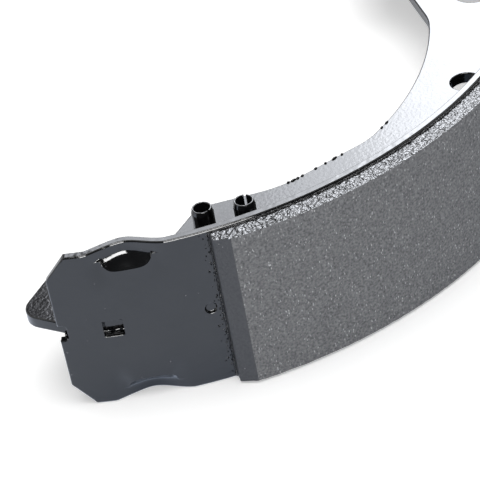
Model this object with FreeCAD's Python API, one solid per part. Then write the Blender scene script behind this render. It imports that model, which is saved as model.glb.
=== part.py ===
import FreeCAD, Part
import math
import os

# Brake shoe of a drum brake, lying on its side as it would on a bench. Millimetres.
# X runs along the shoe's chord, the lining faces -Y, and Z is up, along the drum's axis.
# The origin is at the middle of the shoe's box, on the surface that it lies on.
# The shoe is built about the drum's axis, with the web's middle plane at height zero, and
# moved to its place at the end. Angles are in degrees from the middle of the shoe.
# Both ends are alike, apart from the two spring pins, which stand at the -X end.

# Table: the steel strip, rolled to the drum's curve, that carries the lining
table_outer_radius = 109.4
table_thickness = 2.0
table_width = 42.0
table_half_angle = 75.5

# Cuts in the table at each end, measured along the strip from its end
corner_cut_along = 5.0
corner_cut_across = 6.0
notch_depth = 2.1
notch_corner_radius = 0.9
slot_length = 5.3
slot_from_end = 12.75
slot_corner_radius = 0.5
gap_beside_web = 0.65
weld_mark_radius = 1.35
weld_mark_depth = 0.35
weld_mark_from_end = 35.0

# Nibs: dents pressed inwards into both edges of the table, near each end
nib_from_end = 17.8
nib_reach_to_end = 9.0
nib_reach_to_middle = 11.0
nib_depth = 2.8
nib_strip = 1.9
nib_wall_drop = 3.3
nib_wall_least = 0.3
nib_crease_from_end = 18.55
nib_crease_reach = 8.3
nib_steps = 8

# Web: the flat steel plate that stands upright inside the table
web_thickness = 3.0
web_depth_middle = 26.4
knee_angle = 19.0
knee_radius = 14.0
waist_angle = 37.6
waist_depth = 29.9
waist_radius = 25.0
shoulder_from_end = 22.5
shoulder_depth = 34.8
shoulder_radius = 5.0
root_from_end = 14.3
root_depth = 22.4
root_radius = 5.0

# Toe: the end of the web that stands clear of the table and takes the thrust
toe_set_back = 0.9
toe_rise = 11.0
toe_lean = 1.8
toe_width = 22.2
toe_end_drop = 2.6
toe_tip_radius = 5.0
toe_heel_radius = 4.0

# Holes in the web
hold_down_radius = 3.7
hold_down_depth = 13.8
spring_hole_radius = 5.2
spring_hole_depth = 13.4
spring_hole_angle = 25.5

# Lining and the adhesive film that holds it to the table
lining_thickness = 4.4
lining_set_in = 0.6
lining_half_angle = 55.7
lining_chamfer_length = 3.9
lining_chamfer_depth = 1.7
bond_thickness = 0.2
bead_width = 0.45
bead_height = 0.5
bead_chamfer = 0.3

# Spring pins: slotted steel tubes pressed through the web
pin_radius = 2.65
pin_wall = 0.75
pin_slit = 0.7
pin_above_web = 12.0
pin_below_web = 1.0
pin_chamfer_length = 1.2
pin_chamfer_depth = 0.35
front_pin_from_end = 21.2
front_pin_depth = 17.5
front_pin_slit_turn = -115.0
rear_pin_from_end = 27.1
rear_pin_depth = 15.0
rear_pin_slit_turn = 12.0

# Sizes that follow from those above
table_inner_radius = table_outer_radius - table_thickness
bond_outer_radius = table_outer_radius + bond_thickness
lining_outer_radius = bond_outer_radius + lining_thickness
lining_width = table_width - 2 * lining_set_in
web_slot_width = web_thickness + 2 * gap_beside_web
half_width = table_width / 2
web_middle_radius = table_inner_radius - web_depth_middle

# Length that a cutting tool reaches past what it cuts, and the least length that counts
spare = 2.0
tolerance = 1e-3

UP = FreeCAD.Vector(0, 0, 1)
OUTWARD = FreeCAD.Vector(0, -1, 0)
DRUM_AXIS = FreeCAD.Vector(0, 0, 0)


def around(radius, angle):
    """Point at a radius from the drum's axis, turned from the middle of the shoe."""
    turned = math.radians(angle)
    return FreeCAD.Vector(radius * math.sin(turned), -radius * math.cos(turned), 0)


def turn(shape, angle):
    """Copy of a shape made at the middle of the shoe, turned to its angle."""
    turned = shape.copy()
    turned.rotate(DRUM_AXIS, UP, angle)
    return turned


def strip_angle(length):
    """Angle that a length along the outside of the table takes."""
    return math.degrees(length / table_outer_radius)


def cylinder(radius, height):
    """Cylinder about the drum's axis, centred on the web's middle plane."""
    return Part.makeCylinder(radius, height, FreeCAD.Vector(0, 0, -height / 2))


def ring_segment(inner_radius, outer_radius, half_angle, width):
    """Piece of a ring, centred on the middle of the shoe."""
    base = FreeCAD.Vector(0, 0, -width / 2)
    wedge = Part.makeCylinder(outer_radius, width, base, UP, 2 * half_angle)
    wedge.rotate(DRUM_AXIS, UP, -90 - half_angle)
    return wedge.cut(cylinder(inner_radius, width))


def rounded_face(corners):
    """Flat face from a ring of corners, each a point and the radius that rounds it."""
    stretches = []
    arcs = []
    for index, (here, radius) in enumerate(corners):
        before = corners[index - 1][0]
        after = corners[(index + 1) % len(corners)][0]
        back = (before - here).normalize()
        ahead = (after - here).normalize()
        half = back.getAngle(ahead) / 2
        reach = radius / math.tan(half)
        start = here + back * reach
        stop = here + ahead * reach
        if radius > 0:
            inwards = (back + ahead).normalize()
            middle = here + inwards * (radius / math.sin(half) - radius)
            arcs.append(Part.Arc(start, middle, stop).toShape())
        stretches.append((start, stop))
    lines = []
    for index, (start, _) in enumerate(stretches):
        lines.append(Part.LineSegment(stretches[index - 1][1], start).toShape())
    return Part.Face(Part.Wire(Part.__sortEdges__(lines + arcs)))


def block_through_table(length, width, corner_radius):
    """Block with rounded corners that goes through the table at the middle of the shoe."""
    low = FreeCAD.Vector(-length / 2, -table_outer_radius - spare, -width / 2)
    block = Part.makeBox(length, table_thickness + 2 * spare, width, low)
    through = [edge for edge in block.Edges if edge.tangentAt(0).cross(OUTWARD).Length < tolerance]
    return block.makeFillet(corner_radius, through)


def corner_cutter(end, edge):
    """Prism that takes one corner off the table, with its corner at the middle of the shoe."""
    inner = FreeCAD.Vector(0, 0, edge * (half_width - corner_cut_across))
    outer = FreeCAD.Vector(-end * corner_cut_along, 0, edge * half_width)
    beyond = outer - inner
    low = inner - beyond
    high = outer + beyond
    far = FreeCAD.Vector(low.x, 0, high.z)
    face = Part.Face(Part.makePolygon([low, high, far, low]))
    face.translate(OUTWARD * (table_outer_radius + spare))
    return face.extrude(OUTWARD * -(table_thickness + 2 * spare))


def nib_section(along, end):
    """Section of the table across a pair of nibs, at a length along the strip from its end.

    By each edge a flat strip is pressed inwards, deepest at the nib's middle. A wall leads
    from the strip back to the drum's curve, and its foot is a crease that falls furthest from
    the edge near the nib's middle.
    """
    reach = nib_reach_to_end if along < nib_from_end else nib_reach_to_middle
    share = math.cos(math.pi / 2 * (along - nib_from_end) / reach) ** 2
    off_crease = min(abs(along - nib_crease_from_end) / nib_crease_reach, 1)
    drop = nib_wall_drop * (1 - off_crease ** 4) ** 2
    slope = math.atan2(nib_depth, nib_wall_drop)
    wall_top = half_width - nib_strip
    crease = wall_top - nib_wall_least - drop
    lower_inside = table_thickness * math.tan(slope / 2)
    pressed = table_outer_radius - nib_depth * share
    outside = [(pressed, half_width), (pressed, wall_top), (table_outer_radius, crease)]
    inside = [
        (table_inner_radius, crease - lower_inside),
        (pressed - table_thickness, wall_top - lower_inside),
        (pressed - table_thickness, half_width),
    ]
    outside = [(radius, -height) for radius, height in outside] + outside[::-1]
    inside = inside[::-1] + [(radius, -height) for radius, height in inside]
    points = []
    for radius, height in outside + inside:
        point = around(radius, end * (table_half_angle - strip_angle(along)))
        points.append(point + UP * height)
    return Part.makePolygon(points + points[:1])


def nib_stretch(end):
    """Stretch of the table that holds a pair of nibs."""
    sections = []
    for step in range(-nib_steps, nib_steps + 1):
        reach = nib_reach_to_end if step < 0 else nib_reach_to_middle
        sections.append(nib_section(nib_from_end + reach * step / nib_steps, end))
    return Part.makeLoft(sections, True, False)


def make_table():
    """Rolled strip with its end cuts, slots, weld marks and pressed nibs."""
    table = ring_segment(table_inner_radius, table_outer_radius, table_half_angle, table_width)
    nib_half_angle = strip_angle((nib_reach_to_end + nib_reach_to_middle) / 2)
    nib_middle = strip_angle(nib_from_end - nib_reach_to_end) + nib_half_angle
    room = ring_segment(
        table_inner_radius - spare,
        table_outer_radius + spare,
        nib_half_angle,
        table_width + spare,
    )
    slot = block_through_table(slot_length, web_slot_width, slot_corner_radius)
    notch = block_through_table(2 * notch_depth, web_slot_width, notch_corner_radius)
    mark_base = OUTWARD * (table_outer_radius - weld_mark_depth)
    weld_mark = Part.makeCylinder(weld_mark_radius, spare, mark_base, OUTWARD)
    for end in (-1, 1):
        end_angle = end * table_half_angle
        table = table.cut(turn(room, end_angle - end * nib_middle)).fuse(nib_stretch(end))
    for end in (-1, 1):
        end_angle = end * table_half_angle
        table = table.cut(turn(notch, end_angle))
        table = table.cut(turn(slot, end_angle - end * strip_angle(slot_from_end)))
        table = table.cut(turn(weld_mark, end_angle - end * strip_angle(weld_mark_from_end)))
        for edge in (-1, 1):
            table = table.cut(turn(corner_cutter(end, edge), end_angle))
    return table


def half_outline(end):
    """Corners of one half of the web, reaching past the table's inside."""
    web_end_angle = table_half_angle - strip_angle(toe_set_back)
    past_table = table_outer_radius / math.cos(math.radians(web_end_angle / 2))
    table_end = around(table_inner_radius, table_half_angle)
    toe_tip = table_end + FreeCAD.Vector(-toe_lean, toe_rise, 0)
    toe_heel = toe_tip + FreeCAD.Vector(-toe_width, -toe_end_drop, 0)
    root = around(table_inner_radius - root_depth, table_half_angle - root_from_end)
    shoulder = around(table_inner_radius - shoulder_depth, table_half_angle - shoulder_from_end)
    waist = around(table_inner_radius - waist_depth, waist_angle)
    knee = around(web_middle_radius, knee_angle)
    past_knee = knee + (knee - waist).normalize() * spare
    corners = [
        (around(past_table, 0), 0),
        (around(past_table, web_end_angle), 0),
        (around(table_inner_radius, web_end_angle), 0),
        (toe_tip, toe_tip_radius),
        (toe_heel, toe_heel_radius),
        (root, root_radius),
        (shoulder, shoulder_radius),
        (waist, waist_radius),
        (past_knee, 0),
    ]
    return [(FreeCAD.Vector(end * point.x, point.y, 0), radius) for point, radius in corners]


def pin_place(from_end, depth):
    """Centre of a spring pin, by its angle from the table's -X end and its depth in the web."""
    return around(table_inner_radius - depth, from_end - table_half_angle)


def make_web():
    """Flat plate with two toes, welded by its curved edge to the inside of the table."""
    web = ring_segment(web_middle_radius, table_inner_radius, knee_angle, web_thickness)
    for end in (-1, 1):
        half = rounded_face(half_outline(end)).extrude(UP * web_thickness)
        half.translate(UP * (-web_thickness / 2))
        web = web.fuse(half.common(cylinder(table_inner_radius, web_thickness)))
    web = web.removeSplitter()
    knees = []
    for end in (-1, 1):
        knee = around(web_middle_radius, end * knee_angle)
        knees += [edge for edge in web.Edges if (edge.CenterOfMass - knee).Length < tolerance]
    web = web.makeFillet(knee_radius, knees)
    holes = [
        (around(table_inner_radius - hold_down_depth, 0), hold_down_radius),
        (around(table_inner_radius - spring_hole_depth, spring_hole_angle), spring_hole_radius),
        (pin_place(front_pin_from_end, front_pin_depth), pin_radius),
        (pin_place(rear_pin_from_end, rear_pin_depth), pin_radius),
    ]
    for centre, radius in holes:
        hole = cylinder(radius, web_thickness + 2 * spare)
        hole.translate(centre)
        web = web.cut(hole)
    return web


def make_lining():
    """Curved friction block with chamfered ends."""
    chamfer_angle = math.degrees(lining_chamfer_length / lining_outer_radius)
    end_radius = lining_outer_radius - lining_chamfer_depth
    outer_half = lining_half_angle - chamfer_angle
    outer_arc = Part.Arc(
        around(lining_outer_radius, -outer_half),
        around(lining_outer_radius, 0),
        around(lining_outer_radius, outer_half),
    )
    inner_arc = Part.Arc(
        around(bond_outer_radius, -lining_half_angle),
        around(bond_outer_radius, 0),
        around(bond_outer_radius, lining_half_angle),
    )
    edges = [outer_arc.toShape(), inner_arc.toShape()]
    for end in (-1, 1):
        top = around(lining_outer_radius, end * outer_half)
        step = around(end_radius, end * lining_half_angle)
        foot = around(bond_outer_radius, end * lining_half_angle)
        edges.append(Part.LineSegment(top, step).toShape())
        edges.append(Part.LineSegment(step, foot).toShape())
    face = Part.Face(Part.Wire(Part.__sortEdges__(edges)))
    lining = face.extrude(UP * lining_width)
    lining.translate(UP * (-lining_width / 2))
    return lining


def make_bond(lining):
    """Adhesive film under the lining, with the bead that squeezed out all round it."""
    bead_angle = math.degrees(bead_width / table_outer_radius)
    bead_outer_radius = table_outer_radius + bead_height
    film = ring_segment(
        table_outer_radius,
        bead_outer_radius,
        lining_half_angle + bead_angle,
        lining_width + 2 * bead_width,
    )
    rim = []
    for edge in film.Edges:
        middle = edge.valueAt((edge.FirstParameter + edge.LastParameter) / 2)
        if math.hypot(middle.x, middle.y) > bead_outer_radius - tolerance:
            rim.append(edge)
    return film.makeChamfer(bead_chamfer, rim).cut(lining)


def make_pin(centre, slit_turn):
    """Slotted spring pin with a tapered nose at each end."""
    length = pin_below_web + web_thickness + pin_above_web
    tail_base = UP * (length - pin_chamfer_length)
    nose_radius = pin_radius - pin_chamfer_depth
    body_length = length - 2 * pin_chamfer_length
    nose = Part.makeCone(nose_radius, pin_radius, pin_chamfer_length)
    body = Part.makeCylinder(pin_radius, body_length, UP * pin_chamfer_length)
    tail = Part.makeCone(pin_radius, nose_radius, pin_chamfer_length, tail_base)
    pin = nose.fuse([body, tail]).removeSplitter()
    pin = pin.cut(Part.makeCylinder(pin_radius - pin_wall, length))
    slit = Part.makeBox(pin_radius + spare, pin_slit, length, FreeCAD.Vector(0, -pin_slit / 2, 0))
    slit.rotate(DRUM_AXIS, UP, slit_turn)
    pin = pin.cut(slit)
    pin.translate(centre + UP * (-web_thickness / 2 - pin_below_web))
    return pin


def build():
    """All the pieces by name, moved from the drum's axis to their place on the bench."""
    lining = make_lining()
    pieces = {
        "web": make_web(),
        "table": make_table(),
        "lining": lining,
        "bond_layer": make_bond(lining),
        "spring_pin_front": make_pin(
            pin_place(front_pin_from_end, front_pin_depth), front_pin_slit_turn
        ),
        "spring_pin_rear": make_pin(
            pin_place(rear_pin_from_end, rear_pin_depth), rear_pin_slit_turn
        ),
    }
    box = Part.makeCompound(list(pieces.values())).BoundBox
    to_bench = FreeCAD.Vector(-box.Center.x, -box.Center.y, half_width)
    for piece in pieces.values():
        piece.translate(to_bench)
    print("drum axis at", to_bench)
    return pieces


os.makedirs("parts", exist_ok=True)
for name, piece in build().items():
    solids = piece.Solids
    shape = solids[0] if len(solids) == 1 else Part.makeCompound(solids)
    shape.exportStep("parts/" + name + ".step")
    print(name, len(solids), "solid", round(shape.Volume, 1), "mm3", shape.isValid())
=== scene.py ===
import bmesh
import bpy
import math
from mathutils import Matrix, Vector, noise
from mathutils.geometry import intersect_line_line_2d


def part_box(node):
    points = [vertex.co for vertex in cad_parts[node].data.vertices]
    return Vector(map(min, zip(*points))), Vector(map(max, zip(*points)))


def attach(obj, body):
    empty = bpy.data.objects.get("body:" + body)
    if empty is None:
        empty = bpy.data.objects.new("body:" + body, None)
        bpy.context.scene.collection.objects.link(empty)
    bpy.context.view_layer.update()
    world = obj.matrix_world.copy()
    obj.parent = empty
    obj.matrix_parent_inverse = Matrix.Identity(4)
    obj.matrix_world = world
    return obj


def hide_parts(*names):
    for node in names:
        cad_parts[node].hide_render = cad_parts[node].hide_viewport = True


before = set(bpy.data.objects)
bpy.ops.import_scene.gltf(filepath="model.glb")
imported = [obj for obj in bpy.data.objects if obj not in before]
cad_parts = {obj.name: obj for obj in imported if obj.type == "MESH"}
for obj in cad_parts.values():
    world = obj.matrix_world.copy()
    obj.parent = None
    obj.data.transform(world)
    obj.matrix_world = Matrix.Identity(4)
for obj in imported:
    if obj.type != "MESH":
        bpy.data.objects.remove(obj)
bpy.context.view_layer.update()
mm = 0.001

# Table: the strip of 2 mm steel, rolled to the drum's curve, that the lining sits on.
# It is blanked flat with cut corners and with a notch and a slot for the web at each end,
# a nib is pressed inwards into both edges near each end, and the strip is then rolled.
table_radius = 109.4 * mm
table_thickness = 2.0 * mm
table_half_angle = math.radians(75.5)
table_half_length = table_radius * table_half_angle
table_edge_rounding = 0.5 * mm
inner_rounding_share = 0.6
gap_rounding_share = 0.4
half_width = (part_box("table")[1].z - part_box("table")[0].z) / 2
mid_height = (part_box("table")[1].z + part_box("table")[0].z) / 2
lining_radius = 114.0 * mm
drum_axis_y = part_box("lining")[0].y + lining_radius
tiny = 0.001 * mm

corner_cut_along = 5.0 * mm
corner_cut_across = 6.0 * mm
notch_depth = 2.1 * mm
notch_corner = 0.9 * mm
slot_near = 10.3 * mm
slot_far = 14.9 * mm
slot_corner = 0.35 * mm
gap_half_width = 2.15 * mm
weld_mark_middle = 35.0 * mm
weld_mark_radius = 1.1 * mm
weld_mark_wall = 0.4 * mm
weld_mark_depth = 0.55 * mm
weld_mark_reach = weld_mark_radius + weld_mark_wall

nib_middle = 18.4 * mm
nib_near = 9.6 * mm
nib_far = 27.8 * mm
nib_depth = 3.2 * mm
nib_apex = 0.3
nib_strip = 1.7 * mm
nib_tip_fall = 1.05 * mm
nib_tip_reach = 6.8 * mm
nib_tip_sharpness = 5
nib_pocket_middle = 18.7 * mm
nib_pocket_reach = 5.85 * mm
nib_pocket_top = 18.2 * mm
nib_pocket_drop = 2.7 * mm
nib_pocket_squareness = 4
nib_pocket_fullness = 0.6
nib_wall_rounding = 0.6
nib_slope_foot = 11.0 * mm
nib_crisp_share = 0.6
nib_crisp_fade = 0.7

corner_cut_steps = 6
notch_step = 0.4 * mm
tab_step = 0.5 * mm
nib_step = 0.25 * mm
plain_step = 1.0 * mm
weld_mark_step = 0.1 * mm
lined_step = 2.0 * mm
inner_row_count = 18
plain_row_count = 12
plain_rows_reach = 3.5 * mm
plain_rows_below = 10
nib_rows_below = (1.2 * mm, 0.5 * mm, 0.12 * mm)
nib_wall_rows = (0.0, 0.06, 0.24, 0.44, 0.6, 0.7, 0.8, 0.9, 1.0)
nib_rows_above = (0.12, 0.28, 0.45, 0.64, 1.0)
nib_rows_fade = 3.0 * mm


def even_steps(low, high, step):
    """Evenly spaced values from low to high, about a step apart, without high itself."""
    count = max(1, round((high - low) / step))
    return [low + (high - low) * index / count for index in range(count)]


def nib_share(along):
    """How deep a nib is at a distance from the strip's end, as a share of its full depth."""
    reach = nib_middle - nib_near if along < nib_middle else nib_far - nib_middle
    off_middle = min(abs(along - nib_middle) / reach, 1)
    ramp = math.hypot(1, nib_apex) - math.hypot(off_middle, nib_apex)
    ramp /= math.hypot(1, nib_apex) - nib_apex
    arch = math.cos(math.pi / 2 * off_middle) ** 2
    return ramp if along < nib_middle else (ramp + arch) / 2


def nib_crease(along):
    """Height of the crease at the foot of a nib's wall above the middle of the strip."""
    off_middle = min(abs(along - nib_pocket_middle) / nib_pocket_reach, 1)
    fullness = (1 - off_middle ** nib_pocket_squareness) ** nib_pocket_fullness
    return nib_pocket_top - nib_pocket_drop * fullness


def nib_wall_top(along):
    """Height of the top of a nib's wall above the middle of the strip."""
    off_middle = min(abs(along - nib_pocket_middle) / nib_tip_reach, 1)
    return half_width - nib_strip - nib_tip_fall * off_middle ** nib_tip_sharpness


def heights_at(along):
    """Heights of the grid's lines over the middle of the strip, at a distance from its end."""
    inner = gap_half_width - (notch_corner if along < corner_cut_along else slot_corner)
    crease = nib_crease(along)
    wall_top = nib_wall_top(along)
    nib_rows = [crease - below for below in nib_rows_below]
    nib_rows += [crease + (wall_top - crease) * share for share in nib_wall_rows]
    nib_rows += [wall_top + (half_width - wall_top) * share for share in nib_rows_above]
    plain_start = half_width - corner_cut_across
    plain_rows = even_steps(
        plain_start - plain_rows_reach, plain_start, plain_rows_reach / plain_rows_below
    )
    plain_rows += even_steps(plain_start, half_width, corner_cut_across / corner_cut_steps)
    plain_rows.append(half_width)
    off_nib = max(nib_near - along, along - nib_far, 0)
    fade = min(off_nib / nib_rows_fade, 1)
    top_rows = [low + (high - low) * fade for low, high in zip(nib_rows, plain_rows, strict=True)]
    between = (top_rows[0] - gap_half_width) / plain_row_count
    heights = even_steps(0, inner, inner / inner_row_count) + [inner]
    return heights + even_steps(gap_half_width, top_rows[0], between) + top_rows


def nib_depth_at(along, height):
    """How far a nib presses the strip inwards at a place on it."""
    crease = nib_crease(along)
    wall_top = nib_wall_top(along)
    from_top = min(max((wall_top - height) / (wall_top - crease), 0), 1)
    rounded = min(from_top, nib_wall_rounding)
    wall = rounded ** 2 / (2 * nib_wall_rounding) + from_top - rounded
    wall = 1 - wall / (1 - nib_wall_rounding / 2)
    up_slope = min(max((height - nib_slope_foot) / (wall_top - nib_slope_foot), 0), 1)
    slope = up_slope ** 2 * (3 - 2 * up_slope)
    off_middle = abs(along - nib_pocket_middle) / nib_pocket_reach
    softness = min(max((off_middle - nib_crisp_share) / nib_crisp_fade, 0), 1)
    softness = softness ** 2 * (3 - 2 * softness)
    return nib_depth * nib_share(along) * (wall + (slope - wall) * softness)


def weld_mark_depth_at(along, height):
    """How far the weld mark sinks into the strip's outer side at a place on it."""
    off_mark = math.hypot(along - weld_mark_middle, height)
    return weld_mark_depth * min(max((weld_mark_reach - off_mark) / weld_mark_wall, 0), 1)


def cut_window(blank, near, far, corner):
    """Cuts the web's opening out of both ends of the blank and rounds its corners."""
    inside = []
    for face in blank.faces:
        middle = face.calc_center_median()
        along = table_half_length - abs(middle.x)
        if near < along < far and abs(middle.y) < gap_half_width:
            between_corners = near + corner < along < far - corner
            if between_corners or abs(middle.y) < gap_half_width - corner:
                inside.append(face)
    bmesh.ops.delete(blank, geom=inside, context="FACES")
    pull = corner / math.sqrt(2)
    for vert in blank.verts:
        along = table_half_length - abs(vert.co.x)
        at_height = abs(abs(vert.co.y) - gap_half_width + corner) < tiny
        for stop, way in ((near + corner, 1), (far - corner, -1)):
            if at_height and abs(along - stop) < tiny:
                vert.co.x += way * math.copysign(pull, vert.co.x)
                vert.co.y += math.copysign(pull, vert.co.y)
                break


def roll_up(blank, radius):
    """Rolls a flat blank about the drum's axis: x along the strip, y up and z outwards."""
    for vert in blank.verts:
        angle = vert.co.x / radius
        reach = radius + vert.co.z
        x = reach * math.sin(angle)
        y = drum_axis_y - reach * math.cos(angle)
        vert.co = Vector((x, y, mid_height + vert.co.y))


def make_piece(name, shape, *materials):
    """Makes a finished shape an object at the origin, with smooth faces."""
    for face in shape.faces:
        face.smooth = True
    mesh = bpy.data.meshes.new(name)
    shape.to_mesh(mesh)
    shape.free()
    for material in materials:
        mesh.materials.append(material)
    piece = bpy.data.objects.new(name, mesh)
    bpy.context.scene.collection.objects.link(piece)
    return piece


def round_edges(piece, width, chosen_by="ANGLE", least_angle=math.radians(62)):
    """Rounds the sheared edges of a sheet as the press and the paint leave them."""
    rounding = piece.modifiers.new("rounded_edges", "BEVEL")
    rounding.width = width
    rounding.segments = 3
    rounding.limit_method = chosen_by
    rounding.angle_limit = least_angle
    rounding.use_clamp_overlap = False
    rounding.harden_normals = True


def feed(material, node, feeds):
    """Feeds a shader node's inputs with plain values or with other nodes' outputs."""
    for socket, value in dict(feeds).items():
        if isinstance(value, bpy.types.NodeSocket):
            material.node_tree.links.new(value, node.inputs[socket])
        else:
            node.inputs[socket].default_value = value


def add_node(material, kind, feeds=(), **settings):
    """Adds a shader node with its settings, and feeds its inputs."""
    node = material.node_tree.nodes.new(kind)
    for setting, value in settings.items():
        setattr(node, setting, value)
    feed(material, node, feeds)
    return node


def new_material(name):
    """New node material, with its main shader."""
    material = bpy.data.materials.new(name)
    material.use_nodes = True
    return material, material.node_tree.nodes["Principled BSDF"]


def place_on(material):
    """The place on the piece, in metres, which patterns read."""
    return add_node(material, "ShaderNodeTexCoord").outputs["Object"]


def speckle(material, place, grain, size, spread):
    """Scattered round specks: 1 on a speck and 0 between, in cells of one grain each."""
    cells = add_node(material, "ShaderNodeTexVoronoi", {"Vector": place, "Scale": 1 / grain})
    core_share = 0.6
    full_size = size * core_share
    edge = add_node(
        material,
        "ShaderNodeMapRange",
        {"Value": cells.outputs["Distance"], "From Min": size, "From Max": full_size},
    )
    pick = add_node(material, "ShaderNodeSeparateColor", {"Color": cells.outputs["Color"]})
    chosen = add_node(
        material,
        "ShaderNodeMath",
        {0: pick.outputs["Red"], 1: 1 - spread},
        operation="GREATER_THAN",
    )
    both = add_node(
        material,
        "ShaderNodeMath",
        {0: edge.outputs["Result"], 1: chosen.outputs[0]},
        operation="MULTIPLY",
    )
    return both.outputs[0]


def noise_between(material, place, size, low=0.0, high=1.0, detail=2.0):
    """Soft cloudy pattern of one feature size, spread over the values from low to high."""
    clouds = add_node(
        material,
        "ShaderNodeTexNoise",
        {"Vector": place, "Scale": 1 / size, "Detail": detail},
    )
    usual_low = 0.3
    usual_high = 0.7
    spread = add_node(
        material,
        "ShaderNodeMapRange",
        {
            "Value": clouds.outputs["Fac"],
            "From Min": usual_low,
            "From Max": usual_high,
            "To Min": low,
            "To Max": high,
        },
    )
    return spread.outputs["Result"]


def blend_colours(material, share, first, second):
    """Colour that goes from the first to the second as the share goes from 0 to 1."""
    colour_inputs = {0: share, 6: first, 7: second}
    mix = add_node(material, "ShaderNodeMix", colour_inputs, data_type="RGBA")
    return mix.outputs[2]


def bump(material, height, depth):
    """Relief of a height pattern, in metres from its 0 to its 1."""
    feeds = {"Height": height, "Strength": 1.0, "Distance": depth}
    return add_node(material, "ShaderNodeBump", feeds).outputs["Normal"]


paint_thin = (0.0040, 0.0042, 0.0045, 1)
paint_thick = (0.0075, 0.0078, 0.0085, 1)
paint_cloud_size = 9 * mm
paint_dust_cell = 1.6 * mm
paint_dust_size = 0.14
paint_dust_grey = (0.10, 0.10, 0.105, 1)
paint_gloss_size = 4 * mm
paint_glossiest = 0.07
paint_dullest = 0.13
paint_ior = 1.5


def black_paint(name, peel_size, peel_depth, dust_share):
    """Stoved black gloss over steel: orange peel in its surface, and dust caught in it."""
    paint, shader = new_material(name)
    place = place_on(paint)
    thin_or_thick = noise_between(paint, place, paint_cloud_size)
    black = blend_colours(paint, thin_or_thick, paint_thin, paint_thick)
    dust = speckle(paint, place, paint_dust_cell, paint_dust_size, dust_share)
    colour = blend_colours(paint, dust, black, paint_dust_grey)
    gloss = noise_between(paint, place, paint_gloss_size, paint_glossiest, paint_dullest)
    peel = noise_between(paint, place, peel_size, detail=1.0)
    relief = bump(paint, peel, peel_depth)
    looks = {"Base Color": colour, "Roughness": gloss, "Normal": relief, "IOR": paint_ior}
    feed(paint, shader, looks)
    return paint


weld_mark_near = weld_mark_middle - weld_mark_reach
weld_mark_far = weld_mark_middle + weld_mark_reach
end_columns = even_steps(0, corner_cut_along, corner_cut_along / corner_cut_steps)
end_columns += even_steps(corner_cut_along, slot_near, tab_step) + [slot_near]
end_columns += even_steps(slot_near + slot_corner, slot_far - slot_corner, nib_step)
end_columns += [slot_far - slot_corner] + even_steps(slot_far, nib_far, nib_step)
end_columns += even_steps(nib_far, weld_mark_near, plain_step)
end_columns += even_steps(weld_mark_near, weld_mark_far, weld_mark_step)
end_columns += even_steps(weld_mark_far, table_half_length, lined_step) + [table_half_length]
notch_columns = even_steps(0, notch_depth - notch_corner, notch_step)
notch_columns += [notch_depth - notch_corner, notch_depth]
column_heights = [heights_at(along) for along in end_columns]
last_column = len(end_columns) - 1
last_row = len(column_heights[0]) - 1

blank = bmesh.new()
bmesh.ops.create_grid(blank, x_segments=2 * last_column, y_segments=2 * last_row, size=0.5)
for vert in blank.verts:
    column = round(vert.co.x * 2 * last_column)
    row = round(vert.co.y * 2 * last_row)
    from_end = last_column - abs(column)
    along = end_columns[from_end]
    height = column_heights[from_end][abs(row)]
    if height < gap_half_width + tiny and from_end < len(notch_columns):
        along = notch_columns[from_end]
    x = math.copysign(table_half_length - along, column)
    vert.co = Vector((x, math.copysign(height, row), 0))
for end in (-1, 1):
    for edge in (-1, 1):
        corner = Vector((end * table_half_length, edge * (half_width - corner_cut_across), 0))
        across = Vector((end * corner_cut_across, edge * corner_cut_along, 0)).normalized()
        everything = blank.verts[:] + blank.edges[:] + blank.faces[:]
        bmesh.ops.bisect_plane(
            blank, geom=everything, dist=tiny, plane_co=corner, plane_no=across, clear_outer=True
        )
cut_window(blank, -notch_corner, notch_depth, notch_corner)
cut_window(blank, slot_near, slot_far, slot_corner)
under = bmesh.ops.extrude_face_region(blank, geom=blank.faces[:], use_keep_orig=True)["geom"]
inner_verts = {part for part in under if isinstance(part, bmesh.types.BMVert)}
weights = blank.edges.layers.float.new("bevel_weight_edge")
rim_faces = set()
for face in blank.faces:
    if 0 < len(inner_verts.intersection(face.verts)) < len(face.verts):
        rim_faces.add(face)
for edge in blank.edges:
    if len(rim_faces.intersection(edge.link_faces)) == 1:
        in_gap = all(abs(vert.co.y) < gap_half_width + tiny for vert in edge.verts)
        at_end = all(abs(vert.co.x) > table_half_length - tiny for vert in edge.verts)
        if in_gap and not at_end:
            edge[weights] = gap_rounding_share
        else:
            edge[weights] = inner_rounding_share if edge.verts[0] in inner_verts else 1.0
for vert in blank.verts:
    along = table_half_length - abs(vert.co.x)
    height = abs(vert.co.y)
    depth = nib_depth_at(along, height)
    if vert in inner_verts:
        vert.co.z = -depth - table_thickness
    else:
        vert.co.z = -depth - weld_mark_depth_at(along, height)
for edge in blank.edges:
    at_crease = True
    for vert in edge.verts:
        along = table_half_length - abs(vert.co.x)
        if abs(along - nib_pocket_middle) > nib_pocket_reach:
            at_crease = False
        elif abs(abs(vert.co.y) - nib_crease(along)) > tiny:
            at_crease = False
    if at_crease:
        edge.smooth = False
bmesh.ops.recalc_face_normals(blank, faces=blank.faces[:])
roll_up(blank, table_radius)
plate_peel_size = 2.5 * mm
plate_peel_depth = 0.03 * mm
plate_dust_share = 0.10
plate_paint = black_paint("black_paint_plate", plate_peel_size, plate_peel_depth, plate_dust_share)
table_strip = make_piece("table_strip", blank, plate_paint)
round_edges(table_strip, table_edge_rounding, "WEIGHT")
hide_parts("table")
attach(table_strip, "root")

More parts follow.
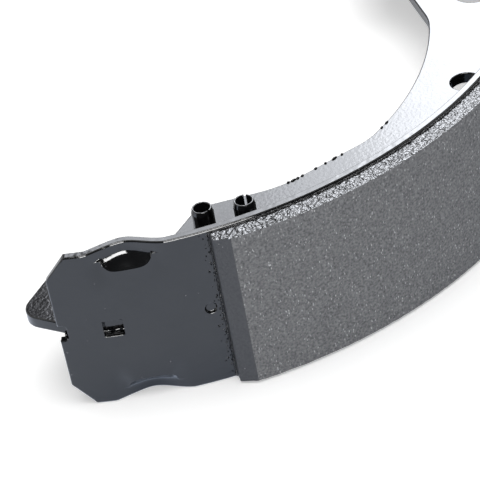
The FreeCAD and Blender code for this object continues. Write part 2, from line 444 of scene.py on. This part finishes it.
# Web: one flat plate of 3 mm steel, blanked with its two toes and its holes, and spot welded
# by its curved edge to the middle of the table. Each pin has its degrees from the table's end,
# its distance from the drum's axis and the degrees that its slit is turned by.
web_thickness = 3.0 * mm
web_edge_rounding = 0.4 * mm
web_radius = table_radius - table_thickness
web_end_gap = 0.9 * mm
web_end_angle = table_half_angle - web_end_gap / table_radius
web_middle_radius = 81.0 * mm
web_margin = 0.9 * mm
knee_angle = math.radians(19.0)
knee_rounding = 14.0 * mm
knee_reach = math.radians(3.2)
waist_depth = 29.9 * mm
waist_angle = math.radians(37.6)
waist_rounding = 25.0 * mm
shoulder_depth = 34.8 * mm
shoulder_from_end = math.radians(22.5)
shoulder_rounding = 5.0 * mm
root_depth = 22.4 * mm
root_from_end = math.radians(14.3)
root_rounding = 5.0 * mm
toe_rise = 11.0 * mm
toe_lean = 1.8 * mm
toe_width = 22.2 * mm
toe_end_drop = 2.6 * mm
toe_tip_rounding = 5.0 * mm
toe_heel_rounding = 4.0 * mm
hold_down_radius = 3.7 * mm
hold_down_depth = 13.8 * mm
spring_hole_radius = 5.2 * mm
spring_hole_depth = 13.4 * mm
spring_hole_angle = math.radians(25.5)
pin_radius = 2.65 * mm
pin_places = {"front": (21.2, 89.9 * mm, -115.0), "rear": (27.1, 92.4 * mm, 12.0)}
arc_step = math.radians(1.5)
hole_segments = 56
corner_segments = 9


def around(radius, angle):
    """Point at a radius from the drum's axis, turned from the middle of the shoe."""
    return Vector((radius * math.sin(angle), drum_axis_y - radius * math.cos(angle), mid_height))


def sweep(shape, start, angle):
    """Draws an arc about the drum's axis from a point, and returns its points in order."""
    first = shape.verts.new(start)
    before = len(shape.verts)
    bmesh.ops.spin(
        shape,
        geom=[first],
        cent=(0, drum_axis_y, 0),
        axis=(0, 0, 1),
        angle=angle,
        steps=max(2, round(abs(angle) / arc_step)),
    )
    shape.verts.ensure_lookup_table()
    return [first] + shape.verts[before:]


def round_corners(shape, corners, reach, segments):
    """Rounds corners of an outline or a section, from a distance before each to one after."""
    bmesh.ops.bevel(
        shape,
        geom=corners,
        offset=reach,
        offset_type="OFFSET",
        segments=segments,
        profile=0.5,
        affect="VERTICES",
        material=-1,
    )


toe_tip = around(web_radius, table_half_angle) + Vector((-toe_lean, toe_rise, 0))
half_outline = [
    (toe_tip, toe_tip_rounding),
    (toe_tip + Vector((-toe_width, -toe_end_drop, 0)), toe_heel_rounding),
    (around(web_radius - root_depth, table_half_angle - root_from_end), root_rounding),
    (around(web_radius - shoulder_depth, table_half_angle - shoulder_from_end), shoulder_rounding),
    (around(web_radius - waist_depth, waist_angle), waist_rounding),
    (around(web_middle_radius, knee_angle), knee_rounding),
]
inner_arc_angle = knee_angle - knee_reach
plate = bmesh.new()
ring = sweep(plate, around(web_radius, -web_end_angle), 2 * web_end_angle)
corners = []
for point, rounding in half_outline:
    corners.append((plate.verts.new(point), rounding))
ring += [corner for corner, rounding in corners]
ring += sweep(plate, around(web_middle_radius, inner_arc_angle), -2 * inner_arc_angle)
for point, rounding in reversed(half_outline):
    corners.append((plate.verts.new((-point.x, point.y, point.z)), rounding))
    ring.append(corners[-1][0])
plate.faces.new(ring)
for corner, rounding in corners:
    ways = [edge.other_vert(corner).co - corner.co for edge in corner.link_edges]
    reach = rounding / math.tan(ways[0].angle(ways[1]) / 2)
    round_corners(plate, [corner], reach, corner_segments)
bmesh.ops.delete(plate, geom=plate.faces[:], context="FACES_ONLY")
sheared_lines = [[vert.co.xy for vert in edge.verts] for edge in plate.edges]
holes = [
    (around(web_radius - hold_down_depth, 0), hold_down_radius),
    (around(web_radius - spring_hole_depth, spring_hole_angle), spring_hole_radius),
]
for from_end, radius, slit_turn in pin_places.values():
    holes.append((around(radius, math.radians(from_end) - table_half_angle), pin_radius))
for centre, radius in holes:
    hole_place = Matrix.Translation(centre)
    bmesh.ops.create_circle(plate, segments=hole_segments, radius=radius, matrix=hole_place)
bmesh.ops.triangle_fill(plate, edges=plate.edges[:], use_beauty=True, normal=(0, 0, 1))
bmesh.ops.inset_region(
    plate, faces=plate.faces[:], thickness=web_margin, use_even_offset=True, use_boundary=True
)
web_peel_size = 0.9 * mm
web_peel_depth = 0.009 * mm
web_dust_share = 0.05
web_paint = black_paint("black_paint_web", web_peel_size, web_peel_depth, web_dust_share)
web_plate = make_piece("web_plate", plate, web_paint)
wall = web_plate.modifiers.new("wall", "SOLIDIFY")
wall.thickness = web_thickness
wall.offset = 0
wall.use_even_offset = True
round_edges(web_plate, web_edge_rounding)
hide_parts("web")
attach(web_plate, "root")

# Paint seam: paint that ran together along both sides of the web's foot and dried there as a
# lumpy bead, and the dark drips of it that hang on the web's inner edge. It is one coat with
# the paint on the web. Each drip has its angle from mid-shoe in degrees and its half length.
seam_leg = 0.8 * mm
seam_bulge = 0.3 * mm
seam_turn_step = math.pi / 6
seam_steps = 900
seam_lump_share = 0.9
seam_lump_length = 0.9 * mm
seam_lump_height = 1.0 * mm
seam_sharp_angle = math.radians(40)
paint_drips = (
    (-36.2, 0.5 * mm),
    (-35.2, 0.9 * mm),
    (-34.3, 0.5 * mm),
    (-33.3, 0.5 * mm),
    (-30.4, 0.5 * mm),
    (-28.3, 0.4 * mm),
    (-26.4, 1.0 * mm),
    (-24.8, 0.4 * mm),
    (-15.3, 0.5 * mm),
    (-13.7, 0.8 * mm),
)
drip_half_width = 0.34 * mm
drip_half_height = 0.5 * mm
drip_sink = 0.1 * mm
drip_search = 8.0 * mm
seam = bmesh.new()
for side in (-1, 1):
    height = mid_height + side * web_thickness / 2
    section = [(web_radius - seam_leg, height)]
    for turn in even_steps(0, math.pi, seam_turn_step) + [math.pi]:
        out = seam_bulge * math.sin(turn)
        section.append((web_radius + out, height + side * seam_leg * (1 - math.cos(turn)) / 2))
    section_points = []
    for radius, level in section:
        point = around(radius, -web_end_angle)
        section_points.append(seam.verts.new((point.x, point.y, level)))
    seam.faces.new(section_points)
bmesh.ops.spin(
    seam,
    geom=seam.verts[:] + seam.edges[:] + seam.faces[:],
    cent=(0, drum_axis_y, 0),
    axis=(0, 0, 1),
    angle=2 * web_end_angle,
    steps=seam_steps,
)
for vert in seam.verts:
    angle = math.atan2(vert.co.x, drum_axis_y - vert.co.y)
    reach = math.hypot(vert.co.x, drum_axis_y - vert.co.y)
    if reach > web_radius + tiny:
        level = vert.co.z
        lump_place = Vector((angle * web_radius / seam_lump_length, level / seam_lump_height, 0))
        lump = 1 + seam_lump_share * noise.noise(lump_place)
        vert.co = around(web_radius + (reach - web_radius) * lump, angle)
        vert.co.z = level
for degrees, half_length in paint_drips:
    angle = math.radians(degrees)
    axis = around(0, angle).xy
    inside_web = around(web_radius - drip_search, angle).xy
    for sheared_line in sheared_lines:
        spot = intersect_line_line_2d(axis, inside_web, *sheared_line)
        if spot is not None:
            reach = (spot - axis).length + web_edge_rounding
    lift = Vector((0, 0, web_thickness / 2 - drip_sink))
    drip = Matrix.Translation(around(reach, angle) + lift) @ Matrix.Rotation(angle, 4, "Z")
    drip = drip @ Matrix.Diagonal((half_length, drip_half_width, drip_half_height, 1.0))
    bmesh.ops.create_uvsphere(seam, u_segments=12, v_segments=8, radius=1.0, matrix=drip)
bmesh.ops.recalc_face_normals(seam, faces=seam.faces[:])
paint_seam = make_piece("paint_seam", seam, web_paint)
paint_seam.data.set_sharp_from_angle(angle=seam_sharp_angle)
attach(paint_seam, "root")

# Spring pins: two slotted tubes of spring steel, rolled from strip with a tapered nose at each
# end, pressed upright through the web near one end and painted over with it.
pin_bore = 1.9 * mm
pin_slit = 0.7 * mm
pin_length = 16.0 * mm
pin_below_web = 1.0 * mm
pin_nose_length = 1.2 * mm
pin_nose_radius = 2.3 * mm
pin_edge_rounding = 0.14 * mm
pin_edge_segments = 3
pin_steps = 44
pin_sharp_angle = math.radians(50)
pin_peel_size = 1.2 * mm
pin_peel_depth = 0.02 * mm
pin_dust_share = 0.03
pin_slit_angle = 2 * math.asin(pin_slit / 2 / pin_radius)
pin_paint = black_paint("black_paint_pins", pin_peel_size, pin_peel_depth, pin_dust_share)
for name, (from_end, radius, slit_turn) in pin_places.items():
    foot = around(radius, math.radians(from_end) - table_half_angle)
    foot.z -= web_thickness / 2 + pin_below_web
    tube = bmesh.new()
    section = [
        (pin_bore, 0),
        (pin_nose_radius, 0),
        (pin_radius, pin_nose_length),
        (pin_radius, pin_length - pin_nose_length),
        (pin_nose_radius, pin_length),
        (pin_bore, pin_length),
    ]
    tube.faces.new([tube.verts.new((reach, 0, height)) for reach, height in section])
    round_corners(tube, tube.verts[:], pin_edge_rounding, pin_edge_segments)
    start = Matrix.Rotation(math.radians(slit_turn) + pin_slit_angle / 2, 4, "Z")
    bmesh.ops.transform(tube, matrix=Matrix.Translation(foot) @ start, verts=tube.verts[:])
    bmesh.ops.spin(
        tube,
        geom=tube.verts[:] + tube.edges[:] + tube.faces[:],
        cent=foot,
        axis=(0, 0, 1),
        angle=2 * math.pi - pin_slit_angle,
        steps=pin_steps,
    )
    bmesh.ops.recalc_face_normals(tube, faces=tube.faces[:])
    pin = make_piece("slotted_pin_" + name, tube, pin_paint)
    pin.data.set_sharp_from_angle(angle=pin_sharp_angle)
    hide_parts("spring_pin_" + name)
    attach(pin, "root")

# Lining: a moulded block of fibre, filler and resin, ground to the drum's curve and chamfered
# at both ends. Its sides are left rough, and paint that missed the table has blackened them.
bond_radius = 109.6 * mm
lining_thickness = lining_radius - bond_radius
lining_half_angle = math.radians(55.7)
lining_half_length = bond_radius * lining_half_angle
lining_half_width = (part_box("lining")[1].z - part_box("lining")[0].z) / 2
chamfer_length = 3.9 * mm * bond_radius / lining_radius
chamfer_depth = 1.7 * mm
chamfer_step = 0.5 * mm
lining_step = 0.75 * mm
side_cuts = 6
side_facing = 0.7
lining_sharp_angle = math.radians(28)
side_relief = 0.14 * mm
end_relief = 0.06 * mm
face_relief = 0.015 * mm
rough_size = 0.9 * mm
face_rough_size = 1.3 * mm
side_seed = 3
end_seed = 7
face_seed = 11


def jitter(place, size, seed):
    """Even scatter about zero that is the same at the same place on each run."""
    return noise.noise(place / size + Vector((seed, 0, 0)))


lining_columns = even_steps(0, chamfer_length, chamfer_step)
lining_columns += even_steps(chamfer_length, lining_half_length, lining_step) + [lining_half_length]
lining_heights = even_steps(0, lining_half_width, lining_step) + [lining_half_width]
last_column = len(lining_columns) - 1
last_row = len(lining_heights) - 1
block = bmesh.new()
bmesh.ops.create_grid(block, x_segments=2 * last_column, y_segments=2 * last_row, size=0.5)
for vert in block.verts:
    column = round(vert.co.x * 2 * last_column)
    row = round(vert.co.y * 2 * last_row)
    along = lining_columns[last_column - abs(column)]
    x = math.copysign(lining_half_length - along, column)
    y = math.copysign(lining_heights[abs(row)], row)
    cut = chamfer_depth * max(1 - along / chamfer_length, 0)
    vert.co = Vector((x, y, lining_thickness - cut))
under = bmesh.ops.extrude_face_region(block, geom=block.faces[:], use_keep_orig=True)["geom"]
for vert in under:
    if isinstance(vert, bmesh.types.BMVert):
        vert.co.z = 0
uprights = []
for edge in block.edges:
    first, second = [vert.co for vert in edge.verts]
    if abs(first.z - second.z) > lining_thickness - chamfer_depth - tiny:
        uprights.append(edge)
bmesh.ops.subdivide_edges(block, edges=uprights, cuts=side_cuts, use_grid_fill=True)
bmesh.ops.recalc_face_normals(block, faces=block.faces[:])
pattern = block.loops.layers.uv.new("along_and_up")
for face in block.faces:
    face.material_index = 0
    middle = face.calc_center_median()
    if abs(face.normal.y) > side_facing:
        face.material_index = 1
    elif abs(middle.x) > lining_half_length - chamfer_length:
        face.material_index = 2
    for corner in face.loops:
        corner[pattern].uv = corner.vert.co.xy
for vert in block.verts:
    place = vert.co.copy()
    if abs(place.y) > lining_half_width - tiny:
        inwards = side_relief * (0.5 + jitter(place, rough_size, side_seed))
        vert.co.y -= math.copysign(inwards, place.y)
    if abs(place.x) > lining_half_length - tiny:
        inwards = end_relief * (0.5 + jitter(place, rough_size, end_seed))
        vert.co.x -= math.copysign(inwards, place.x)
    if place.z > tiny:
        vert.co.z -= face_relief * (0.5 + jitter(place, face_rough_size, face_seed))
roll_up(block, bond_radius)

grain_size = 0.55 * mm
grain_depth = 0.09 * mm
grain_dark = (0.052, 0.054, 0.058, 1)
grain_light = (0.220, 0.224, 0.233, 1)
patch_size = 5 * mm
patch_dark = (0.120, 0.124, 0.131, 1)
patch_light = (0.158, 0.162, 0.169, 1)
patch_share = 0.25
clump_size = 2.5 * mm
fibre_cell = 0.6 * mm
fibre_size = 0.24
fibre_narrowing = (1.0, 1.0, 0.4)
fibre_layers = (((0.3, 0.5, 0.2), 0.30), ((1.4, 0.2, 0.9), 0.25), ((0.7, 1.3, 2.0), 0.25))
fibre_white = (0.48, 0.485, 0.50, 1)
# Pits: scattered dark specks painted in as the shade inside small pits, which have no relief of their
# own.
pit_cell = 0.9 * mm
pit_size = 0.28
pit_share = 0.12
pit_shade_grey = (0.07, 0.073, 0.078, 1)
friction_face, shader = new_material("friction_face")
place = place_on(friction_face)
grain = noise_between(friction_face, place, grain_size, detail=4.0)
clumps = noise_between(friction_face, place, clump_size, low=0.1)
patches = noise_between(friction_face, place, patch_size, detail=3.0)
grey = blend_colours(friction_face, grain, grain_dark, grain_light)
dusty = blend_colours(friction_face, patches, patch_dark, patch_light)
colour = blend_colours(friction_face, patch_share, grey, dusty)
for turned, share in fibre_layers:
    lie = {"Vector": place, "Rotation": turned, "Scale": fibre_narrowing}
    fibre_place = add_node(friction_face, "ShaderNodeMapping", lie).outputs["Vector"]
    fibres = speckle(friction_face, fibre_place, fibre_cell, fibre_size, share)
    feeds = {0: fibres, 1: clumps}
    fibres = add_node(friction_face, "ShaderNodeMath", feeds, operation="MULTIPLY").outputs[0]
    colour = blend_colours(friction_face, fibres, colour, fibre_white)
# Painted shade of small pits, laid over the friction colour as dark specks.
pit_shade = speckle(friction_face, place, pit_cell, pit_size, pit_share)
colour = blend_colours(friction_face, pit_shade, colour, pit_shade_grey)
relief = bump(friction_face, grain, grain_depth)
looks = {"Base Color": colour, "Roughness": 0.75, "Specular IOR Level": 0.2, "Normal": relief}
feed(friction_face, shader, looks)

chip_size = 1.0 * mm
chip_depth = 0.16 * mm
chip_black = (0.006, 0.006, 0.007, 1)
chip_grey = (0.04, 0.042, 0.045, 1)
painted_side, shader = new_material("painted_side")
chips = noise_between(painted_side, place_on(painted_side), chip_size)
colour = blend_colours(painted_side, chips, chip_black, chip_grey)
relief = bump(painted_side, chips, chip_depth)
feed(painted_side, shader, {"Base Color": colour, "Roughness": 0.12, "Normal": relief})

ground_size = 0.6 * mm
ground_depth = 0.04 * mm
ground_dark = (0.040, 0.043, 0.050, 1)
ground_light = (0.057, 0.060, 0.067, 1)
ground_dust_cell = 1.2 * mm
ground_dust_size = 0.15
ground_dust_share = 0.08
ground_dust_grey = (0.22, 0.22, 0.23, 1)
ground_end, shader = new_material("ground_end")
place = place_on(ground_end)
grain = noise_between(ground_end, place, ground_size, detail=3.0)
grey = blend_colours(ground_end, grain, ground_dark, ground_light)
dust = speckle(ground_end, place, ground_dust_cell, ground_dust_size, ground_dust_share)
colour = blend_colours(ground_end, dust, grey, ground_dust_grey)
relief = bump(ground_end, grain, ground_depth)
looks = {"Base Color": colour, "Roughness": 0.65, "Specular IOR Level": 0.25, "Normal": relief}
feed(ground_end, shader, looks)

lining_block = make_piece("lining_block", block, friction_face, painted_side, ground_end)
lining_block.data.set_sharp_from_angle(angle=lining_sharp_angle)
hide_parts("lining")
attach(lining_block, "root")

# Adhesive: the film of black resin that bonds the lining to the table under heat and pressure,
# with the lumpy bead that squeezed out all round the lining and the spatters at its ends.
film_thickness = bond_radius - table_radius
film_columns = 240
film_rows = 6
bead_radius = 0.36 * mm
bead_step = 0.3 * mm
bead_out = 0.10 * mm
bead_lift_share = 0.45
bead_side_share = 0.85
bead_lump_size = 0.9 * mm
bead_lump_share = 0.45
bead_swell_size = 2.5 * mm
bead_swell_share = 0.35
bead_thickest = 1.15
bead_sharp_angle = math.radians(50)
lump_seed = 21
swell_seed = 5
spatter_count = 64
spatter_reach = 2.4 * mm
spatter_scatter = 1.5 * mm
spatter_least = 0.13 * mm
spatter_spread = 0.22 * mm
spatter_shape = Matrix.Diagonal((1.0, 1.3, 0.5, 1.0))
spatter_stride = (0.731, 0.377, 0.193)
spatter_out_seed = Vector((9, 0, 0))
spatter_size_seed = Vector((0, 9, 0))
film = bmesh.new()
bmesh.ops.create_grid(film, x_segments=film_columns, y_segments=film_rows, size=0.5)
for vert in film.verts:
    x = vert.co.x * 2 * lining_half_length
    vert.co = Vector((x, vert.co.y * 2 * lining_half_width, 0))
under = bmesh.ops.extrude_face_region(film, geom=film.faces[:], use_keep_orig=True)["geom"]
for vert in under:
    if isinstance(vert, bmesh.types.BMVert):
        vert.co.z = -film_thickness
bmesh.ops.recalc_face_normals(film, faces=film.faces[:])

far_x = lining_half_length + bead_out
far_y = lining_half_width
lengthwise = even_steps(-far_x, far_x, bead_step)
across = even_steps(-far_y, far_y, bead_step)
route = [Vector((x, -far_y, 0)) for x in lengthwise]
route += [Vector((far_x, y, 0)) for y in across]
route += [Vector((-x, far_y, 0)) for x in lengthwise]
route += [Vector((-far_x, -y, 0)) for y in across]
bead_line = bpy.data.curves.new("bead_line", "CURVE")
bead_line.dimensions = "3D"
bead_line.bevel_depth = bead_radius
bead_line.bevel_resolution = 2
line = bead_line.splines.new("POLY")
line.points.add(len(route) - 1)
line.use_cyclic_u = True
for point, place in zip(line.points, route):
    lump = 1 + bead_lump_share * jitter(place, bead_lump_size, lump_seed)
    lump += bead_swell_share * jitter(place, bead_swell_size, swell_seed)
    at_side = abs(place.y) > far_y - tiny
    point.co = (place.x, place.y, -film_thickness + bead_radius * bead_lift_share, 1)
    point.radius = min(lump, bead_thickest) * (bead_side_share if at_side else 1.0)
bead_object = bpy.data.objects.new("bead_line", bead_line)
bpy.context.scene.collection.objects.link(bead_object)
film.from_mesh(bpy.data.meshes.new_from_object(bead_object))
bpy.data.objects.remove(bead_object)
for index in range(2 * spatter_count):
    end = 1 if index % 2 else -1
    seed = Vector([index * stride for stride in spatter_stride])
    up = (index / spatter_count - 1) * lining_half_width + spatter_scatter * noise.noise(seed)
    out = bead_radius + spatter_reach * abs(noise.noise(seed + spatter_out_seed))
    size = spatter_least + spatter_spread * abs(noise.noise(seed + spatter_size_seed))
    spot = Matrix.Translation((end * (far_x + out), up, -film_thickness)) @ spatter_shape
    bmesh.ops.create_uvsphere(film, u_segments=8, v_segments=6, radius=size, matrix=spot)
for vert in film.verts:
    vert.co.z = max(vert.co.z, -film_thickness)
roll_up(film, bond_radius)

resin_black = (0.003, 0.003, 0.004, 1)
resin_grey = (0.009, 0.009, 0.010, 1)
resin_cloud_size = 1.5 * mm
resin_lump_size = 0.5 * mm
resin_lump_depth = 0.3 * mm
resin, shader = new_material("black_resin")
place = place_on(resin)
clouds = noise_between(resin, place, resin_cloud_size)
colour = blend_colours(resin, clouds, resin_black, resin_grey)
lumps = noise_between(resin, place, resin_lump_size)
relief = bump(resin, lumps, resin_lump_depth)
looks = {"Base Color": colour, "Roughness": 0.22, "Specular IOR Level": 0.3, "Normal": relief}
feed(resin, shader, looks)
adhesive_film = make_piece("adhesive_film", film, resin)
adhesive_film.data.set_sharp_from_angle(angle=bead_sharp_angle)
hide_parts("bond_layer")
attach(adhesive_film, "root")

# Camera: looks down over the pinned end of the shoe, as in the photograph, from about 0.6 m
# away. It is rolled a little, and its long lens keeps the far end from shrinking much.
camera_azimuth = math.radians(-64.2)
camera_elevation = math.radians(36.157)
camera_roll = math.radians(-11.11)
camera_distance = 0.5998
camera_target = Vector((-0.066925, 0.007747, 0.021))
camera_lens = 194.47
camera_sensor = 36
camera_data = bpy.data.cameras.new("camera")
camera_data.lens = camera_lens
camera_data.sensor_width = camera_sensor
camera = bpy.data.objects.new("camera", camera_data)
bpy.context.scene.collection.objects.link(camera)
turn = Matrix.Rotation(camera_azimuth, 4, "Z")
turn = turn @ Matrix.Rotation(math.radians(90) - camera_elevation, 4, "X")
turn = turn @ Matrix.Rotation(camera_roll, 4, "Z")
camera_back = turn.to_3x3() @ Vector((0, 0, 1))
camera.matrix_world = Matrix.Translation(camera_target + camera_back * camera_distance) @ turn
bpy.context.scene.camera = camera

# Floor: a plain white sheet that the shoe lies on. It glows a little by itself, so that the
# eye sees it white wherever the shoe doesn't shade it: more strongly far from the shoe and
# behind it. What the paint mirrors of it glows only in front, where the plate faces it, and
# glows blue there: a painted reflection colour that gives the black paint its blue cast.
floor_half = 4.0
floor_near = 0.25
floor_far = 1.0
floor_glow_near = 0.12
floor_glow_far = 0.45
floor_front = -0.05
floor_back = 0.02
floor_glow_seen_front = 0.20
floor_glow_seen_back = 0.36
floor_mirrored_from = -0.02
floor_glow_mirrored = 0.62
floor_white = (1, 1, 1, 1)
# Blue that only the floor's reflections carry: painted reflection colour on the black paint.
floor_mirrored_tint = (0.78, 0.95, 1.28, 1)
floor_paper = (0.8, 0.8, 0.8, 1)


def ramp_between(material, value, from_low, from_high, to_low, to_high):
    """Value that goes from one number to another as a pattern goes between two of its own."""
    span = {"From Min": from_low, "From Max": from_high, "To Min": to_low, "To Max": to_high}
    ramp = add_node(material, "ShaderNodeMapRange", {"Value": value, **span})
    return ramp.outputs["Result"]


floor_shape = bmesh.new()
bmesh.ops.create_grid(floor_shape, x_segments=1, y_segments=1, size=floor_half)
sheet, shader = new_material("white_sheet")
place = place_on(sheet)
from_shoe = add_node(sheet, "ShaderNodeVectorMath", {0: place}, operation="LENGTH").outputs["Value"]
view_way = {0: place, 1: (-camera_back.x, -camera_back.y, 0)}
behind = add_node(sheet, "ShaderNodeVectorMath", view_way, operation="DOT_PRODUCT").outputs["Value"]
glow = ramp_between(sheet, from_shoe, floor_near, floor_far, floor_glow_near, floor_glow_far)
mirrored = ramp_between(sheet, behind, floor_mirrored_from, floor_front, 0.0, floor_glow_mirrored)
seen = ramp_between(
    sheet, behind, floor_front, floor_back, floor_glow_seen_front, floor_glow_seen_back
)
rays = add_node(sheet, "ShaderNodeLightPath")
for ray, extra in (("Is Camera Ray", seen), ("Is Glossy Ray", mirrored)):
    feeds = {0: rays.outputs[ray], 1: extra, 2: glow}
    glow = add_node(sheet, "ShaderNodeMath", feeds, operation="MULTIPLY_ADD").outputs[0]
tint = blend_colours(sheet, rays.outputs["Is Glossy Ray"], floor_white, floor_mirrored_tint)
looks = {"Base Color": floor_paper, "Roughness": 1.0, "Specular IOR Level": 0.0}
feed(sheet, shader, {**looks, "Emission Color": tint, "Emission Strength": glow})
floor_sheet = make_piece("floor_sheet", floor_shape, sheet)

# Panel: a large soft light behind the shoe, just where the tops of the web and the table
# mirror it to the camera. It is dim on its left and bright on its right, as the photograph
# shows on the web: each stop is a place across it, from 0 to 1, and the strength there.
panel_distance = 1.2
panel_width = 0.9
panel_height = 0.55
panel_white = (0.96, 0.99, 1.05, 1)
panel_strongest = 16.0
panel_stops = (
    (0.0, 0.6),
    (0.368, 0.7),
    (0.388, 5.3),
    (0.44, 5.6),
    (0.485, 4.9),
    (0.52, 6.1),
    (0.554, 7.9),
    (0.585, 8.2),
    (0.64, 14.0),
    (1.0, 15.0),
)


def show_to_mirrors_only(piece):
    """Hides a glowing or dark surface from the eye, and keeps it from lighting or shading."""
    piece.visible_camera = False
    piece.visible_diffuse = False
    piece.visible_shadow = False


mirrored_back = Vector((-camera_back.x, -camera_back.y, camera_back.z))
camera_right = turn.to_3x3() @ Vector((1, 0, 0))
panel_right = Vector((camera_right.x, camera_right.y, -camera_right.z))
panel_up = mirrored_back.cross(panel_right)
panel_turn = Matrix((panel_right, panel_up, mirrored_back)).transposed().to_4x4()
panel_place = Matrix.Translation(camera_target + mirrored_back * panel_distance)
panel_place = panel_place @ panel_turn @ Matrix.Diagonal((panel_width, panel_height, 1, 1))
panel_shape = bmesh.new()
panel_shape.loops.layers.uv.new("across_and_up")
bmesh.ops.create_grid(panel_shape, x_segments=1, y_segments=1, size=0.5, calc_uvs=True)
bmesh.ops.transform(panel_shape, matrix=panel_place, verts=panel_shape.verts[:])
soft_light, shader = new_material("soft_light")
across_and_up = add_node(soft_light, "ShaderNodeUVMap").outputs["UV"]
across = add_node(soft_light, "ShaderNodeSeparateXYZ", {0: across_and_up}).outputs["X"]
fade = add_node(soft_light, "ShaderNodeFloatCurve", {"Value": across})
curve = fade.mapping.curves[0]
curve.points[0].location = (panel_stops[0][0], panel_stops[0][1] / panel_strongest)
curve.points[1].location = (panel_stops[-1][0], panel_stops[-1][1] / panel_strongest)
for stop, strength in panel_stops[1:-1]:
    curve.points.new(stop, strength / panel_strongest)
fade.mapping.update()
feeds = {0: fade.outputs["Value"], 1: panel_strongest}
strength = add_node(soft_light, "ShaderNodeMath", feeds, operation="MULTIPLY").outputs[0]
looks = {"Base Color": (0, 0, 0, 1), "Emission Color": panel_white, "Emission Strength": strength}
feed(soft_light, shader, looks)
back_panel = make_piece("back_panel", panel_shape, soft_light)
show_to_mirrors_only(back_panel)


# Cards: a white one low in front and a smaller one overhead, which the pressed nibs, the
# rounded edges and the lumps of paint and glue mirror as small highlights.
def hung_round_shoe(azimuth, elevation, distance):
    """Place of something that hangs round the shoe and is turned to face it."""
    facing = Matrix.Rotation(math.radians(azimuth), 4, "Z")
    facing = facing @ Matrix.Rotation(math.radians(90 - elevation), 4, "X")
    back = facing.to_3x3() @ Vector((0, 0, distance))
    return Matrix.Translation(camera_target + back) @ facing


def hang_card(name, azimuth, elevation, distance, width, height, strength):
    """Hangs a glowing card, which only mirrors see, round the shoe."""
    card_place = hung_round_shoe(azimuth, elevation, distance)
    card_place = card_place @ Matrix.Diagonal((width, height, 1, 1))
    card_shape = bmesh.new()
    bmesh.ops.create_grid(card_shape, x_segments=1, y_segments=1, size=0.5)
    bmesh.ops.transform(card_shape, matrix=card_place, verts=card_shape.verts[:])
    card_white, shader = new_material(name + "_white")
    looks = {"Base Color": (0, 0, 0, 1), "Emission Color": (1, 1, 1, 1)}
    feed(card_white, shader, {**looks, "Emission Strength": strength})
    card = make_piece(name, card_shape, card_white)
    show_to_mirrors_only(card)


hang_card("front_card", azimuth=-59, elevation=19, distance=1.0, width=0.69, height=0.46, strength=24)
hang_card("top_card", azimuth=-64.2, elevation=79, distance=1.2, width=0.5, height=0.24, strength=24)

# Dark room: the unlit room behind the camera, which blackens the pressed nibs. It is one large
# dark sheet that stands on the floor behind the camera.
room_distance = 1.5
room_width = 6.0
room_black = (0.01, 0.01, 0.01, 1)
room_place = Vector((camera_back.x, camera_back.y, 0)).normalized() * room_distance
room_place = Matrix.Translation(room_place + Vector((0, 0, room_width / 2)))
room_place = room_place @ Matrix.Rotation(camera_azimuth, 4, "Z")
room_place = room_place @ Matrix.Rotation(math.radians(90), 4, "X")
room_place = room_place @ Matrix.Diagonal((room_width, room_width, 1, 1))
room_shape = bmesh.new()
bmesh.ops.create_grid(room_shape, x_segments=1, y_segments=1, size=0.5)
bmesh.ops.transform(room_shape, matrix=room_place, verts=room_shape.verts[:])
dark, shader = new_material("dark_room")
feed(dark, shader, {"Base Color": room_black, "Specular IOR Level": 0.0})
dark_room = make_piece("dark_room", room_shape, dark)
show_to_mirrors_only(dark_room)


# Lamps: a large soft box overhead, and a smaller one low in front, right of the camera. The
# panel and the cards stand for them in what the shoe mirrors, so reflections leave them out.
def soft_box(name, azimuth, elevation, distance, width, height, power):
    """Hangs a rectangular lamp round the shoe."""
    data = bpy.data.lights.new(name, "AREA")
    data.shape = "RECTANGLE"
    data.size = width
    data.size_y = height
    data.energy = power
    lamp = bpy.data.objects.new(name, data)
    bpy.context.scene.collection.objects.link(lamp)
    lamp.matrix_world = hung_round_shoe(azimuth, elevation, distance)
    lamp.visible_glossy = False


soft_box("lamp_overhead", azimuth=-64.2, elevation=90, distance=1.3, width=1.2, height=1.2, power=15)
soft_box("lamp_in_front", azimuth=-59, elevation=19, distance=1.0, width=0.69, height=0.46, power=2.5)

# Surroundings: white to the eye, in reflections and through openings, and a dimmer even light
# on everything else, so that the shoe keeps its own depth of colour.
fill_strength = 0.35
white_strength = 1.0
world = bpy.data.worlds.new("surroundings")
bpy.context.scene.world = world
world.use_nodes = True
rays = add_node(world, "ShaderNodeLightPath")
clear = rays.outputs["Is Camera Ray"]
for ray in ("Is Glossy Ray", "Is Transmission Ray"):
    feeds = {0: clear, 1: rays.outputs[ray]}
    clear = add_node(world, "ShaderNodeMath", feeds, operation="MAXIMUM").outputs[0]
strength = ramp_between(world, clear, 0.0, 1.0, fill_strength, white_strength)
background = world.node_tree.nodes["Background"]
feed(world, background, {"Color": (1, 1, 1, 1), "Strength": strength})
bpy.context.scene.view_settings.view_transform = "Standard"
